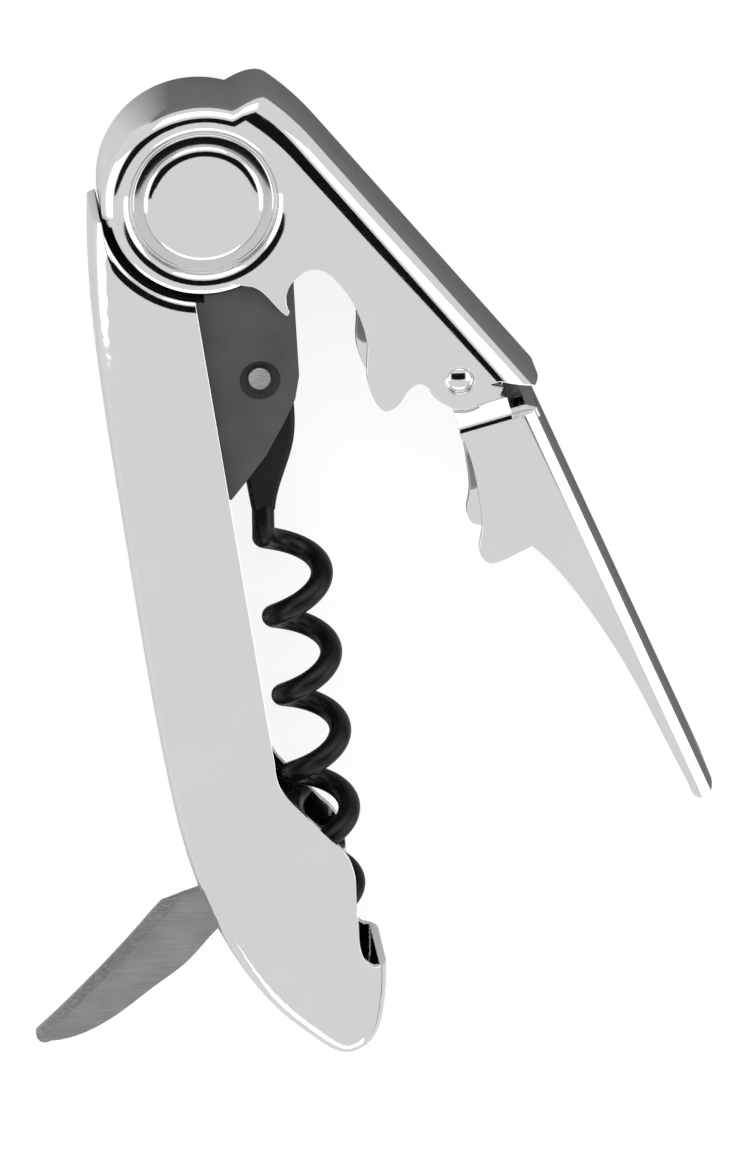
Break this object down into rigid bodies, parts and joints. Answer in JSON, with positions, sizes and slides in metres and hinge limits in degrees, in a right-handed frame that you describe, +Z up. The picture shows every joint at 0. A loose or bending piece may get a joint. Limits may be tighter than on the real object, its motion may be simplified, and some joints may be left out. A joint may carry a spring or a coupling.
{
  "type": "lever corkscrew",
  "caption": "Waiter's lever corkscrew lying on its side, half open: U-section steel handle, jointed two-part lever with cap-lifter mouth, coated wire worm and pivoting foil knife.",
  "frame": {"origin": "where the main pivot's axis meets the resting plane, at the centre of the rear pivot disc's flat face", "axes": "+Z up along every hinge axis, from the resting side to the upper side; -Y from the main pivot along the handle to its toe; +X towards the levers"},
  "size_m": [0.0863, 0.1294, 0.014],
  "materials": {
    "polished_steel": "polished stainless steel",
    "satin_ring": "satin steel",
    "core_grey": "dark grey fine grain",
    "black_coat": "black non-stick coating on steel wire",
    "blade_steel": "ground steel",
    "pin_steel": "turned steel",
    "washer_nylon": "natural nylon"
  },
  "bodies": {
    "handle": {"handle_shell": "polished_steel", "pivot_core": "core_grey", "core_screws": "pin_steel", "worm_pin": "pin_steel", "worm_washers": "pin_steel", "front_core_washer": "washer_nylon", "rear_core_washer": "washer_nylon", "knife_block": "core_grey", "knife_pin": "pin_steel", "knife_washers": "pin_steel", "knife_spring": "pin_steel"},
    "pivot_spindle": {"main_pivot_shaft": "pin_steel", "front_pivot_disc": "polished_steel", "rear_pivot_disc": "polished_steel"},
    "upper_lever": {"upper_lever": "polished_steel", "front_spring_ring": "satin_ring", "rear_spring_ring": "satin_ring", "hinge_rivet": "polished_steel"},
    "lower_lever": {"lower_lever": "polished_steel", "hinge_sleeve": "pin_steel"},
    "worm": {"worm": "black_coat"},
    "knife": {"knife_blade": "blade_steel"}
  },
  "joints": [
    {"name": "main_pivot", "type": "hinge", "parent": "handle", "child": "upper_lever", "pos_m": [0, 0, 0], "axis": [0, 0, 1], "range_deg": [-25, 77]},
    {"name": "lever_hinge", "type": "hinge", "parent": "upper_lever", "child": "lower_lever", "pos_m": [0.0311, -0.0237, 0], "axis": [0, 0, -1], "range_deg": [-12, 36]},
    {"name": "worm_pivot", "type": "hinge", "parent": "handle", "child": "worm", "pos_m": [0.0067, -0.0232, 0], "axis": [0, 0, 1], "range_deg": [0, 30]},
    {"name": "knife_pivot", "type": "hinge", "parent": "handle", "child": "knife", "pos_m": [0.0047, -0.0953, 0], "axis": [0, 0, -1], "range_deg": [0, 108]},
    {"name": "spindle_turn", "type": "hinge", "parent": "handle", "child": "pivot_spindle", "pos_m": [0, 0, 0], "axis": [0, 0, 1], "continuous": true}
  ]
}
